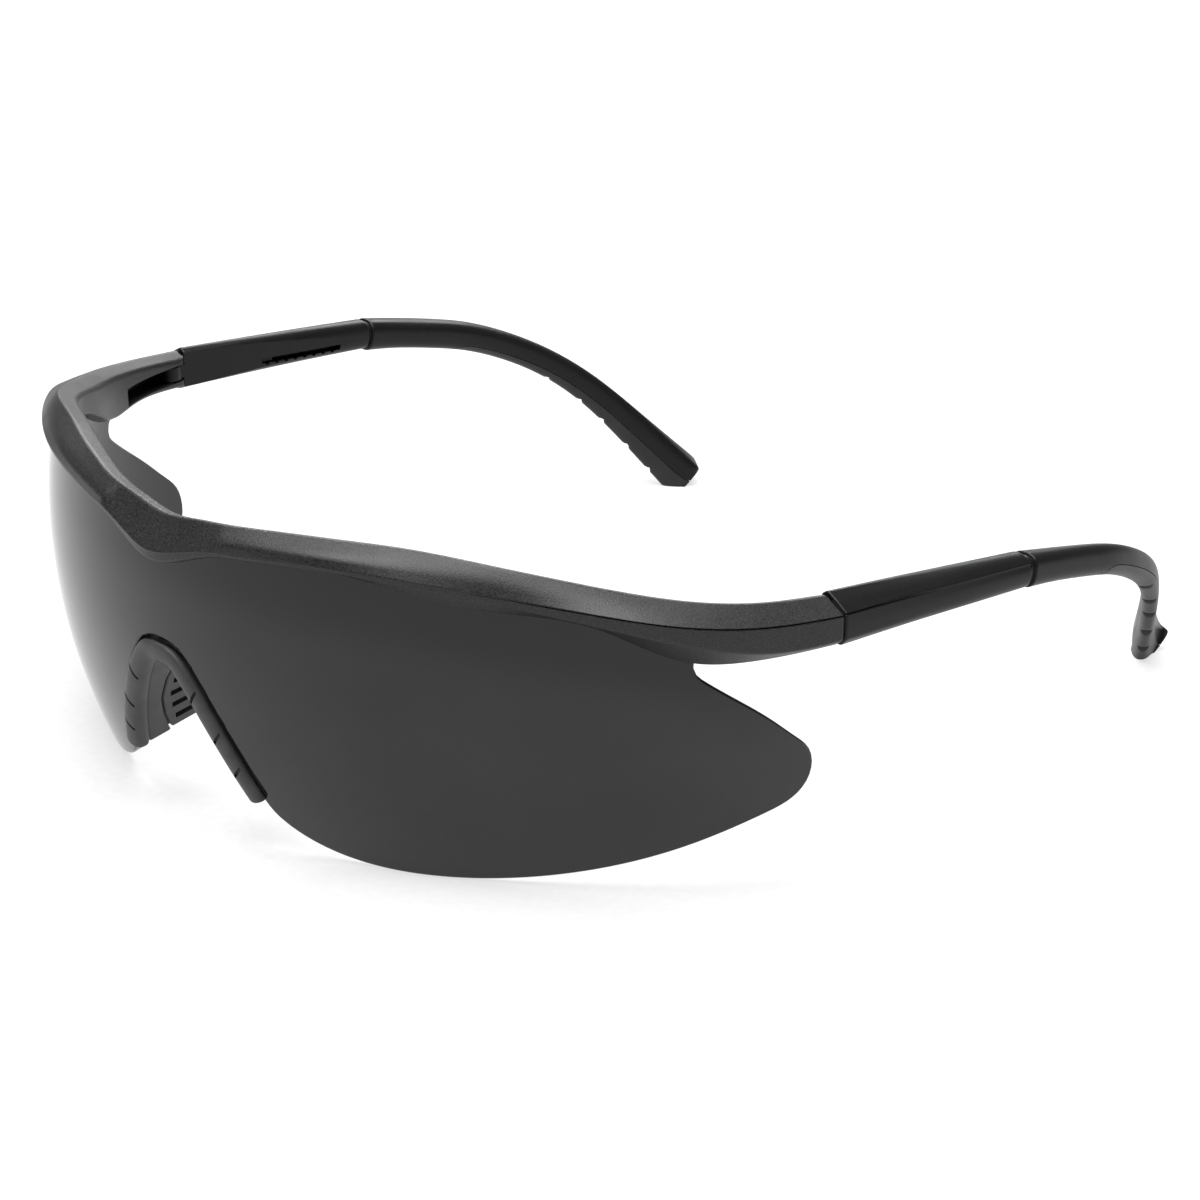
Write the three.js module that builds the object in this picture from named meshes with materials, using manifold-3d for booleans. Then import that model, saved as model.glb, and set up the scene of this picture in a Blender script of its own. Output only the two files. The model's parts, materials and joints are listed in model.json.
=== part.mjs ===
// Wraparound safety glasses: a one-piece toric shield under a brow bar, a soft nose piece, and two folding
// temples whose tips slide in and out of the front sleeves.
//
// Design frame, in millimetres: +X is the wearer's left, -Y is where the wearer looks, +Z is up. The origin
// is midway between the two hinge seams. The finished group is tilted and lifted by the amount that makes
// the shield's lobes and the temple tips rest on the plane z = 0.

import * as THREE from 'three';
import { mergeVertices } from 'three/addons/utils/BufferGeometryUtils.js';
import Module from 'manifold-3d';

// ---------------------------------------------------------------- driving dimensions

const GAP = 0.35;                       // clearance between neighbouring pieces

// Shield: the outer half of a torus, wider round than it is tall, leaning back at the top.
const LENS_ROUND = 72.8;                // radius round the face at the torus equator
const LENS_TALL = 87.8;                 // radius of the vertical arc
const LENS_LEAN = 0.553;                // lean of the torus axis, radians
const LENS_DEEPEN = 1 / 1.073;          // front-to-back squash of the torus
const LENS_CENTRE = [10.7, -16.1];      // y and z of the torus centre
const LENS_THICK = 1.7;

// Hinge: a vertical pin just inside the seam between brow bar and temple.
const SEAM_Y = 0.2;                     // rear face of the brow bar's end pieces
const HINGE = { x: 70.6, y: -2.0 };
const KNUCKLE_RADIUS = 2.0;
const LUG_RADIUS = 2.35;
const PIN_RADIUS = 0.75;
const POCKET = { low: -4.5, high: -1.6, front: -14.5 };

// Temple: the sleeve and the sliding tip share one straight channel.
const SLEEVE_END = 40.0;                // y of the sleeve's rear end
const SLIDE_SLOPE = -0.095;             // fall of the channel per millimetre of depth
const CHANNEL = { x: 72.3, z: -7.1, width: 2.6, height: 3.0, front: 14.0 };
const SLIDER = { width: 2.0, height: 2.4, front: 16.4 };
const INNER_FLAT_X = 69.95;             // the sleeve's flat face next to the head
const TOOTH_PITCH = 2.0;

// Resting attitude.
const REST_TILT = 0.0146;               // radians about +X
const REST_LIFT = 41.45;
const CENTRE_SHIFT = -19.0;             // brings the middle of the depth to y = 0

// ---------------------------------------------------------------- mesh helpers

const wasm = await Module();
wasm.setup();

/** A closed three.js geometry as a manifold-3d solid. */
function toSolid(geometry) {
  const bare = geometry.index ? geometry.clone() : geometry;
  for (const name of ['normal', 'uv']) bare.deleteAttribute(name);
  const merged = mergeVertices(bare, 1e-4);
  return new wasm.Manifold(new wasm.Mesh({
    numProp: 3,
    vertProperties: new Float32Array(merged.attributes.position.array),
    triVerts: new Uint32Array(merged.index.array),
  }));
}

/** A manifold-3d solid as a three.js geometry. */
function toGeometry(solid) {
  const mesh = solid.getMesh();
  const geometry = new THREE.BufferGeometry();
  geometry.setAttribute('position', new THREE.BufferAttribute(new Float32Array(mesh.vertProperties), 3));
  geometry.setIndex(new THREE.BufferAttribute(new Uint32Array(mesh.triVerts), 1));
  geometry.computeVertexNormals();
  return geometry;
}

/** The same solid mirrored to the other side of the face. */
function mirrored(solid) {
  return solid.mirror([1, 0, 0]);
}

/** An axis-aligned block between two corners. */
function block([x0, y0, z0], [x1, y1, z1]) {
  const geometry = new THREE.BoxGeometry(x1 - x0, y1 - y0, z1 - z0);
  geometry.translate((x0 + x1) / 2, (y0 + y1) / 2, (z0 + z1) / 2);
  return toSolid(geometry);
}

/** An upright cylinder. */
function post(x, y, z0, z1, radius, sides = 32) {
  const geometry = new THREE.CylinderGeometry(radius, radius, z1 - z0, sides);
  geometry.rotateX(Math.PI / 2);
  geometry.translate(x, y, (z0 + z1) / 2);
  return toSolid(geometry);
}

/** A plan outline, drawn in x and y, raised from z0 to z1. */
function slab(points, z0, z1) {
  const shape = new THREE.Shape(points.map(([x, y]) => new THREE.Vector2(x, y)));
  const geometry = new THREE.ExtrudeGeometry(shape, { depth: z1 - z0, bevelEnabled: false });
  geometry.translate(0, 0, z0);
  return toSolid(geometry);
}

/** A closed solid through a row of sections, each a ring of the same number of points. */
function loft(rings) {
  const count = rings[0].length;
  const positions = rings.flat().flatMap((point) => [point.x, point.y, point.z]);
  const index = [];
  for (let ring = 0; ring < rings.length - 1; ring += 1) {
    for (let side = 0; side < count; side += 1) {
      const a = ring * count + side;
      const b = ring * count + ((side + 1) % count);
      index.push(a, b, b + count, a, b + count, a + count);
    }
  }
  for (const [ring, flip] of [[0, true], [rings.length - 1, false]]) {
    const centre = positions.length / 3;
    const middle = rings[ring].reduce((sum, point) => sum.add(point), new THREE.Vector3());
    middle.divideScalar(count);
    positions.push(middle.x, middle.y, middle.z);
    for (let side = 0; side < count; side += 1) {
      const a = ring * count + side;
      const b = ring * count + ((side + 1) % count);
      index.push(...(flip ? [centre, b, a] : [centre, a, b]));
    }
  }
  if (signedVolume(positions, index) < 0) index.reverse();
  const geometry = new THREE.BufferGeometry();
  geometry.setAttribute('position', new THREE.Float32BufferAttribute(positions, 3));
  geometry.setIndex(index);
  return toSolid(geometry);
}

/** Six times the volume inside an indexed mesh, negative when its faces point inwards. */
function signedVolume(positions, index) {
  const corner = (i) => new THREE.Vector3().fromArray(positions, index[i] * 3);
  let volume = 0;
  for (let i = 0; i < index.length; i += 3) volume += corner(i).dot(corner(i + 1).cross(corner(i + 2)));
  return volume;
}

/** A smooth curve through points given as arrays; t runs evenly from point to point. */
function rail(points) {
  return new THREE.CatmullRomCurve3(points.map((point) => new THREE.Vector3(...point)), false, 'centripetal');
}

const spread = (from, to, steps) => Array.from({ length: steps + 1 }, (_, i) => from + ((to - from) * i) / steps);
const reflect = (point) => new THREE.Vector3(-point.x, point.y, point.z);

// ---------------------------------------------------------------- shield

/**
 * A point of the toric shield. `round` is millimetres round the face at the equator from the middle,
 * `rise` is millimetres up the vertical arc, and `depth` is millimetres in front of the outer surface.
 */
function onLens(round, rise, depth = 0) {
  const turn = round / LENS_ROUND;
  const pitch = rise / LENS_TALL;
  const reach = LENS_ROUND - LENS_TALL + (LENS_TALL + depth) * Math.cos(pitch);
  const up = (LENS_TALL + depth) * Math.sin(pitch);
  const front = -reach * Math.cos(turn) * LENS_DEEPEN;
  return new THREE.Vector3(
    reach * Math.sin(turn),
    front * Math.cos(LENS_LEAN) - up * Math.sin(LENS_LEAN) + LENS_CENTRE[0],
    front * Math.sin(LENS_LEAN) + up * Math.cos(LENS_LEAN) + LENS_CENTRE[1],
  );
}

// Right half of the shield's flat pattern, as [round, rise].
const NOSE_EDGE = [[0, 43], [3.4, 42.5], [5.8, 40.4], [8.8, 35.8], [11.4, 30.6], [13.6, 25.2], [15.6, 19.6]];
const LOWER_EDGE = [[19.6, 14.9], [26, 11.1], [40, 6.5], [57, 2.4], [75, -1.4], [88, -3.8]];
const LOBE_EDGE = [[93.6, -4.3], [97, -2.6], [98.7, 1.4], [97.9, 4.4], [96, 9.6], [90.4, 21.6]];
const HOOK_EDGE = [[89.9, 23.4], [90.6, 25], [93.5, 26.2], [94.5, 27.6], [93.5, 28.6]];
const UPPER_EDGE = [[88.8, 29.6], [86, 33.2], [81.3, 37.9], [76.3, 42.2], [64, 49.2], [50.9, 54.8],
  [38.8, 59.2], [25.7, 60.4], [15.5, 60], [9.1, 59.1], [0, 57.9]];

/** The whole flat pattern, grown outwards by `grow`, as a polygon. */
function lensPattern(grow) {
  const half = [
    ...NOSE_EDGE.map(([x, y]) => [x - (x > 1 ? grow : 0), y - (x > 1 ? 0 : grow)]),
    ...LOWER_EDGE.map(([x, y]) => [x, y - grow]),
    ...LOBE_EDGE.map(([x, y]) => [x + grow, y]),
    ...HOOK_EDGE.map(([x, y]) => [x + grow, y + (y > 28 ? grow : -grow)]),
    ...UPPER_EDGE.map(([x, y]) => [x, y + grow]),
  ].map(([x, y]) => new THREE.Vector2(x, y));
  const side = new THREE.SplineCurve(half).getPoints(half.length * 3);
  const other = side.slice(1, -1).reverse().map((point) => new THREE.Vector2(-point.x, point.y));
  return [...side, ...other];
}

/** The flat pattern cut from a gridded sheet and wrapped round the torus. */
function wrapLens(pattern, back, front) {
  const sheet = new THREE.BoxGeometry(208, 72, front - back, 38, 8, 1);
  sheet.translate(0, 28, (front + back) / 2);
  const blank = new THREE.ExtrudeGeometry(new THREE.Shape(pattern), { depth: 20, bevelEnabled: false });
  blank.translate(0, 0, -10);
  return toSolid(sheet).intersect(toSolid(blank)).warp((vertex) => {
    const point = onLens(vertex[0], vertex[1], vertex[2]);
    [vertex[0], vertex[1], vertex[2]] = [point.x, point.y, point.z];
  });
}

const lens = wrapLens(lensPattern(0), -LENS_THICK, 0);
const lensRoom = wrapLens(lensPattern(GAP), -LENS_THICK - GAP, GAP);

// ---------------------------------------------------------------- brow bar

// Each rail runs from the middle of the bar to the left hinge seam through nine matching stations.
const BROW_RAILS = {
  ridge: [[0, -58.6, 8.1], [15, -56.8, 9.6], [27, -51.7, 10], [37, -46.7, 10], [49, -40, 8.7],
    [58.5, -29.7, 5.6], [64.5, -21.8, 3.5], [69, -11.9, 1.6], [71.1, SEAM_Y, 0]],
  face: [[0, -61.7, 5.2], [16.1, -59.6, 7.7], [28.9, -54.6, 8.7], [38.5, -49, 8.6], [50.2, -41, 7.1],
    [59.8, -31.7, 4.6], [66.2, -23.7, 2.6], [70.8, -11.8, 0.4], [72.9, SEAM_Y, -1]],
  crease: [[0, -62, 2.4], [16.1, -59.3, 5.9], [29.3, -55, 7.3], [39.3, -49.8, 6.9], [51.1, -41.5, 5.3],
    [60.8, -33.3, 3.4], [67.8, -25.4, 1.6], [72.6, -11.9, -0.9], [74.7, SEAM_Y, -2.1]],
  eave: [[0, -61.8, 1.8], [16.1, -59.2, 5.3], [29.2, -54.9, 6.7], [39.2, -49.7, 6.1], [50.9, -41.3, 4.1],
    [60.4, -33, 1.4], [67.3, -24.9, -1.3], [72.5, -11.6, -5], [74.6, SEAM_Y, -5.9]],
  frontFoot: [[0, -60.8, 1.5], [15.9, -58.3, 5], [28.8, -54, 6.3], [38, -49.1, 4.7], [49, -41.3, 3],
    [57.4, -32.2, 0.6], [65.4, -20.7, -6], [70.5, -11, -6.8], [73.2, SEAM_Y, -7]],
  rearFoot: [[0, -57.1, 2.2], [14.9, -54.8, 5.6], [27.4, -50.7, 6.4], [35.8, -46.2, 5.2], [46.4, -38.8, 3.6],
    [54.2, -30.2, 1.2], [62.3, -19, -4.3], [67.1, -10, -4.8], [68.9, SEAM_Y, -5.5]],
  rearTop: [[0, -56.3, 7.3], [14.2, -54.4, 8.6], [25.8, -49.3, 8.9], [35.4, -44.4, 8.8], [46.9, -37.7, 7.5],
    [55.9, -27.9, 4.4], [61.9, -20.5, 2.2], [66.4, -11.4, 0.5], [68.6, SEAM_Y, -1]],
};
const BROW_STEPS = 28;

/** The solid bar before the shield's groove and the hinge pockets are cut. */
function browBlank() {
  const rails = Object.values(BROW_RAILS).map(rail);
  const left = spread(0, 1, BROW_STEPS).map((t) => rails.map((curve) => curve.getPoint(t)));
  const right = left.slice(1).reverse().map((ring) => ring.map(reflect));
  return loft([...right, ...left]);
}

/** Everything that is cut away at the left hinge: pocket, lug rounding and pin hole. */
function hingeRoom() {
  const { x, y } = HINGE;
  const pocket = slab([[60, POCKET.front], [69.2, POCKET.front], [72.3, y - 2.5], [x + LUG_RADIUS, y],
    [x + LUG_RADIUS, 5], [60, 5]], POCKET.low, POCKET.high);
  const round = post(x, y, POCKET.low, POCKET.high, LUG_RADIUS);
  const corner = block([60, y, -20], [x, y + 8, 20]).subtract(post(x, y, -20, 20, LUG_RADIUS));
  const hole = post(x, y, -20, -0.7, PIN_RADIUS + GAP);
  return pocket.add(round).add(corner).add(hole);
}

function browBar() {
  const room = hingeRoom();
  return browBlank().subtract(lensRoom).subtract(room).subtract(mirrored(room));
}

// ---------------------------------------------------------------- nose piece

// Path of the channel over the shield's nose cut-out, down the left leg, as [round, rise].
const NOSE_PATH = [[0, 43], [3.4, 42.5], [5.8, 40.4], [8.8, 35.8], [11.4, 30.6], [13.6, 25.2], [15.3, 20.6]];
// Section of the rim as [across, depth]: across grows towards the shield, depth towards the front.
const RIM_SECTION = [[-2.5, 0], [-2, 0.8], [-0.6, 1.15], [0.8, 1], [1.3, 0.45], [1.3, -3],
  [0.9, -3.4], [-2.1, -3.4], [-2.5, -3]];
const WING_DEPTH = [7, 6.2, 4.8, 4.2, 4.6, 5.5];            // trailing edge of the wing, top to bottom
const PAD_DEPTH = [9.8, 11.4, 12.2, 12.2, 11.4];             // trailing edge of the soft pad, top to bottom
const PAD_SLOTS = 6;

const nosePath = new THREE.SplineCurve(NOSE_PATH.map(([x, y]) => new THREE.Vector2(x, y)));

/** A point beside the nose path; t is 0 at the top and 1 at the leg's end. */
function besideNose(t, across, depth) {
  const at = nosePath.getPoint(t);
  const along = nosePath.getTangent(t);
  const shrink = 1 - LENS_TALL / LENS_ROUND + (LENS_TALL / LENS_ROUND) * Math.cos(at.y / LENS_TALL);
  const outward = new THREE.Vector2(-along.y, along.x * shrink).normalize();
  return onLens(at.x + (outward.x * across) / shrink, at.y + outward.y * across, depth);
}

/** Reads a row of evenly spaced values at u from 0 to 1. */
function along(values, u) {
  const place = u * (values.length - 1);
  const low = Math.min(Math.floor(place), values.length - 2);
  return values[low] + (values[low + 1] - values[low]) * (place - low);
}

/** A thin wall standing back from the left leg between two depths that may change down the leg. */
function legWall(from, to, inner, outer, front, back) {
  return loft(spread(from, to, 12).map((t) => {
    const u = (t - from) / (to - from);
    const [near, far] = [front(u), back(u)];
    return [[inner, near], [outer, near], [outer, far], [inner, far]]
      .map(([across, depth]) => besideNose(t, across, -depth));
  }));
}

function noseBridge() {
  const left = spread(0, 1, 18).map((t) => RIM_SECTION.map(([across, depth]) => besideNose(t, across, depth)));
  const right = left.slice(1).reverse().map((ring) => ring.map(reflect));
  const wing = legWall(0.3, 1, -2.5, -1.2, () => 3.2, (u) => along(WING_DEPTH, u));
  return loft([...right, ...left]).add(wing).add(mirrored(wing)).subtract(lensRoom);
}

/** The left pad: a soft wall behind the wing with a row of slots through it. */
function nosePad() {
  const wall = legWall(0.42, 0.98, -2.5, -1.1, (u) => along(WING_DEPTH, 0.17 + 0.8 * u) + GAP,
    (u) => along(PAD_DEPTH, u));
  const slots = spread(0.56, 0.92, PAD_SLOTS - 1).map((t) => loft([0, 1].map((end) => {
    const u = (t - 0.42) / 0.56;
    const [near, far] = [along(WING_DEPTH, 0.17 + 0.8 * u) + 1.5, along(PAD_DEPTH, u) - 1.1];
    return [[-3.6, near], [0, near], [0, far], [-3.6, far]]
      .map(([across, depth]) => besideNose(t + (end - 0.5) * 0.032, across, -depth));
  })));
  return slots.reduce((pad, slot) => pad.subtract(slot), wall);
}

// ---------------------------------------------------------------- temples

// Sleeve sections as [outward, upward] from the centre line: ridged at the hinge, oval at the tip.
const SLEEVE_FRONT = [[-1.1, 3.9], [0.8, 2.8], [2.6, 1.5], [2.7, -0.5], [2.6, -2.5], [1.5, -3.7],
  [-0.8, -3.2], [-2.6, -2.3], [-2.9, 0], [-2.6, 2.9]];
const SLEEVE_REAR = [[-0.7, 2.65], [0.9, 2.45], [2.1, 1.5], [2.5, 0.1], [2.2, -1.6], [1.2, -2.6],
  [-0.8, -2.4], [-2.1, -1.7], [-2.45, 0], [-2.1, 2]];
const SLEEVE_LINE = [[72, SEAM_Y + 0.4, -3.5], [72.2, 14, -4.6], [72.35, 27, -5.8], [72.3, SLEEVE_END, -7.1]];

/** A point of the slide channel's frame: along y, then sideways, then square to the channel. */
function onChannel(y, side, up) {
  const tilt = Math.atan(SLIDE_SLOPE);
  return new THREE.Vector3(
    CHANNEL.x + side,
    y - up * Math.sin(tilt),
    CHANNEL.z + SLIDE_SLOPE * (y - SLEEVE_END) + up * Math.cos(tilt),
  );
}

/** A straight bar in the slide channel's frame. */
function channelBar(y0, y1, [side0, side1], [up0, up1]) {
  return loft([y0, y1].map((y) => [[side0, up0], [side1, up0], [side1, up1], [side0, up1]]
    .map(([side, up]) => onChannel(y, side, up))));
}

/** The window in the sleeve's inner wall: a slot whose lower edge is scalloped into teeth. */
function latchWindow() {
  const slot = channelBar(16.8, 33.6, [-4, -1], [-0.95, 0.25]);
  const teeth = spread(18, 32.4, Math.round(14.4 / TOOTH_PITCH)).map((y) => {
    const tooth = new THREE.CylinderGeometry(0.55, 0.55, 3, 12);
    tooth.rotateZ(Math.PI / 2);
    const centre = onChannel(y, -2.5, -0.95);
    return toSolid(tooth.translate(centre.x, centre.y, centre.z));
  });
  return teeth.reduce((room, tooth) => room.add(tooth), slot);
}

function sleeve() {
  const line = rail(SLEEVE_LINE);
  const rings = spread(0, 1, 14).map((t) => {
    const centre = line.getPoint(t);
    return SLEEVE_FRONT.map(([out, up], i) => new THREE.Vector3(
      centre.x + out + (SLEEVE_REAR[i][0] - out) * t,
      centre.y,
      centre.z + up + (SLEEVE_REAR[i][1] - up) * t,
    ));
  });
  const { x, y } = HINGE;
  const tongue = post(x, y, POCKET.low + GAP, POCKET.high - GAP, KNUCKLE_RADIUS)
    .add(block([x - 1.3, y, POCKET.low + GAP], [x + 1.5, 4, POCKET.high - GAP]))
    .subtract(post(x, y, -20, 20, PIN_RADIUS + GAP));
  const channel = channelBar(CHANNEL.front, SLEEVE_END + 3, [-CHANNEL.width / 2, CHANNEL.width / 2],
    [-CHANNEL.height / 2, CHANNEL.height / 2]);
  const chamfer = slab([[60, -9], [68.2, -9], [68.2, 0], [70.6, 0.62], [68.9, 3], [60, 3]], -20, 20);
  return loft(rings)
    .subtract(block([60, -5, -20], [INNER_FLAT_X, 60, 20]))
    .subtract(chamfer)
    .add(tongue)
    .subtract(channel)
    .subtract(latchWindow());
}

// Tip: centre line, then width across, height, both along the tip.
const TIP_LINE = [[72.3, SLEEVE_END + 0.5, -7.3], [71.9, 47.4, -8.6], [71.1, 56, -10.6], [69.8, 64.4, -13.2],
  [67, 74.3, -18.2], [62.8, 82.5, -24.7], [57.8, 88.8, -32.4], [52, 95, -41.3], [50.7, 96.8, -43.7]];
const TIP_WIDTH = [5.0, 4.7, 4.4, 4.1, 3.7, 3.2, 3, 3, 3];
const TIP_HEIGHT = [5.2, 4.8, 4.7, 4.6, 4.5, 4.8, 5.6, 6.5, 6.5];
const TIP_LEAN = [0, 0.1, 0.2, 0.2, 0.16, 0.08, 0, 0, 0];   // how far the top leans towards the head, radians
const TIP_FLARE = [0, 0, 0, 0, 0, 0, 0, 1.1, 1.4];  // outward lean of the rear edge at the tip's end
const TIP_SIDES = 16;
const PAD_START = 0.42;                 // where the soft grip begins, as a share of the tip line
const PAD_SHARE = -0.1;                 // height of the parting line, in half heights
const GROOVES = [0.55, 0.64, 0.72, 0.8, 0.88];
const tipLine = rail(TIP_LINE);

/** Frame of the tip's centre line: centre, outward axis and upper axis. */
function tipFrame(t) {
  const centre = tipLine.getPoint(t);
  const tangent = tipLine.getTangent(t);
  const upper = new THREE.Vector3(0, 0, 1).addScaledVector(tangent, -tangent.z).normalize();
  upper.applyAxisAngle(tangent, -along(TIP_LEAN, t));
  return { centre, upper, outward: new THREE.Vector3().crossVectors(tangent, upper), tangent };
}

const placeTip = ({ centre, upper, outward }, out, up) => centre.clone()
  .addScaledVector(outward, out).addScaledVector(upper, up);

function tipBlank() {
  return loft(spread(0, 1, 24).map((t) => {
    const frame = tipFrame(t);
    const [width, height] = [along(TIP_WIDTH, t), along(TIP_HEIGHT, t)];
    return spread(0, 2 * Math.PI, TIP_SIDES).slice(0, -1).map((turn) => {
      const soften = (value) => Math.sign(value) * Math.abs(value) ** 0.75;
      const up = soften(Math.sin(turn)) * height / 2;
      const flare = along(TIP_FLARE, t) * Math.max(0, up / height);
      return placeTip(frame, soften(Math.cos(turn)) * width / 2 + flare, up);
    });
  }));
}

/** The space below the parting line from `from` to beyond the end, lowered by `drop`. */
function belowParting(from, drop) {
  return loft(spread(from, 1, 20).map((t) => {
    const frame = tipFrame(t);
    const ramp = Math.min(1, (t - from) / 0.08);
    const top = along(TIP_HEIGHT, t) / 2 * (PAD_SHARE - 0.9 * (1 - ramp) ** 2) - drop;
    return [[-4, top], [4, top], [4, -6], [-4, -6]].map(([out, up]) => placeTip(frame, out, up));
  }));
}

/** A notch across the soft grip. */
function groove(t) {
  const frame = tipFrame(t);
  const depth = along(TIP_HEIGHT, t) / 2;
  const section = [[-0.9, -depth - 1], [0, -depth + 0.7], [0.9, -depth - 1]];
  return loft([-4, 4].map((out) => section.map(([run, up]) => placeTip(frame, out, up)
    .addScaledVector(frame.tangent, run))));
}

/** Everything under the plane that the resting glasses stand on. */
function floorRoom() {
  const under = new THREE.BoxGeometry(300, 300, 20);
  under.translate(0, 0, -10 - REST_LIFT);
  under.rotateX(-REST_TILT);
  return toSolid(under);
}

const tipSolid = tipBlank().subtract(floorRoom());

function templeTip() {
  const slider = channelBar(SLIDER.front, SLEEVE_END + 3, [-SLIDER.width / 2, SLIDER.width / 2],
    [-SLIDER.height / 2, SLIDER.height / 2]);
  const latch = channelBar(17.4, 19.4, [-1.75, -0.5], [-0.6, -0.1]);
  return tipSolid.subtract(belowParting(PAD_START, 0)).add(slider).add(latch);
}

function tipPad() {
  const pad = tipSolid.intersect(belowParting(PAD_START + 0.006, GAP));
  return GROOVES.reduce((solid, t) => solid.subtract(groove(t)), pad);
}

function hingePin() {
  return post(HINGE.x, HINGE.y, -5.8, -1.05, PIN_RADIUS, 20);
}

// ---------------------------------------------------------------- assembly

const MATERIALS = {
  brow: { color: 0x1d1e20, roughness: 0.55, metalness: 0 },
  smoke: { color: 0x141517, roughness: 0.08, metalness: 0 },
  soft: { color: 0x1a1a1b, roughness: 0.75, metalness: 0 },
  temple: { color: 0x17181a, roughness: 0.5, metalness: 0 },
  steel: { color: 0x8a8c90, roughness: 0.35, metalness: 1 },
};

const group = new THREE.Group();

function add(name, solid, look) {
  const mesh = new THREE.Mesh(toGeometry(solid), new THREE.MeshStandardMaterial(MATERIALS[look]));
  mesh.name = name;
  group.add(mesh);
}

function addPair(name, solid, look) {
  add(`${name}_left`, solid, look);
  add(`${name}_right`, mirrored(solid), look);
}

add('brow_bar', browBar(), 'brow');
add('lens', lens, 'smoke');
add('nose_bridge', noseBridge(), 'soft');
addPair('nose_pad', nosePad(), 'soft');
addPair('hinge_pin', hingePin(), 'steel');
addPair('temple_sleeve', sleeve(), 'temple');
addPair('temple_tip', templeTip(), 'temple');
addPair('tip_pad', tipPad(), 'soft');

group.rotation.x = REST_TILT;
group.position.set(0, CENTRE_SHIFT, REST_LIFT);

export default group;
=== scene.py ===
"""Looks of the wraparound safety glasses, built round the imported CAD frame.

Shapes are worked out in the part's design frame, in millimetres: +X is the wearer's left, -Y is where the
wearer looks, +Z is up, and the origin is midway between the two hinge seams. The record's left hinge says
how that frame lies in the row frame. Every piece is turned and scaled into the row frame when published.
"""

import json
import math

import bmesh
import bpy
import numpy as np
from mathutils import Matrix, Vector


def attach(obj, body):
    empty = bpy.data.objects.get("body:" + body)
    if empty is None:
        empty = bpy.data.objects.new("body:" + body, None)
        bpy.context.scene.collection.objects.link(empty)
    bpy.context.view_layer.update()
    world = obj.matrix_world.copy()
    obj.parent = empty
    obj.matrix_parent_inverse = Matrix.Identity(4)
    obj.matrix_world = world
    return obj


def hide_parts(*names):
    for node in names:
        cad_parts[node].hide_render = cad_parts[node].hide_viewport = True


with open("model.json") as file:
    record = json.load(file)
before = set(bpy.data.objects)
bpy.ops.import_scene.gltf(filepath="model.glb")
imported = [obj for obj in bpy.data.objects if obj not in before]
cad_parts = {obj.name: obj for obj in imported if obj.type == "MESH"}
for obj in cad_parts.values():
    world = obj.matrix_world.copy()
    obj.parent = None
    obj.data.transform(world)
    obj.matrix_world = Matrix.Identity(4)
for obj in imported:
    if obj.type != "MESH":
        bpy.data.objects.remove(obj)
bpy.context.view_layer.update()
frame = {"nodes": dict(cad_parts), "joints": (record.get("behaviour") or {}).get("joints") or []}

# ---------------------------------------------------------------- driving dimensions, millimetres

HINGE = (70.6, -2.0, -3.05)             # the left hinge joint's place in the design frame
SEAM_Y = 0.2                            # rear face of the brow bar's end pieces
POCKET = {"low": -4.5, "high": -1.6, "front": -14.5}    # the room for the knuckle in each end piece
POCKET_WALL = [(69.2, POCKET["front"]), (72.3, HINGE[1] - 2.5)]     # plan of the pocket's outer wall
GAP = 0.35                              # play between pieces that move against each other
PIN_RADIUS = 0.75
PIN_TOP = -0.7                          # top of the blind hole for the pin
KNUCKLE_RADIUS = 2.0
LUG_RADIUS = 2.35

LENS_ROUND = 72.8                       # radius round the face at the torus equator
LENS_TALL = 87.8                        # radius of the vertical arc
LENS_LEAN = 0.553                       # lean of the torus axis, radians
LENS_DEEPEN = 1 / 1.073                 # front-to-back squash of the torus
LENS_CENTRE = (10.7, -16.1)             # y and z of the torus centre
LENS_THICK = 1.7
LENS_EDGE = 0.45                        # rounding of the shield's edge
LENS_GRID = 2.4                         # spacing of the shield's mesh

SLEEVE_FRONT_Y = SEAM_Y + 0.4
SLEEVE_END = 40.0
SLIDE_SLOPE = -0.095                    # rise of the slide per millimetre towards the rear
CHANNEL = {"x": 72.3, "z": -7.1, "width": 2.6, "height": 3.0, "front": 14.0}
SLIDER = {"width": 2.0, "height": 2.4, "front": 16.4}
INNER_FLAT_X = 69.95                    # the flat on each sleeve that lies beside the head
TOOTH_PITCH = 2.0
FAR = 20.0                              # how far a cutter reaches past what it cuts

# ---------------------------------------------------------------- frames

joints = {joint["name"]: joint for joint in frame["joints"]}
hinge_axis = joints["temple_hinge_left"]["axis"]
rest_tilt = math.atan2(-hinge_axis[1], hinge_axis[2])
turn = Matrix.Rotation(rest_tilt, 4, "X")
hinge_place = Vector(joints["temple_hinge_left"]["pos_m"])
REST = Matrix.Translation(hinge_place - turn @ Vector(HINGE) / 1000) @ turn @ Matrix.Scale(0.001, 4)
MIRROR = Matrix.Diagonal((-1, 1, 1, 1))

# ---------------------------------------------------------------- curves and meshes


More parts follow.
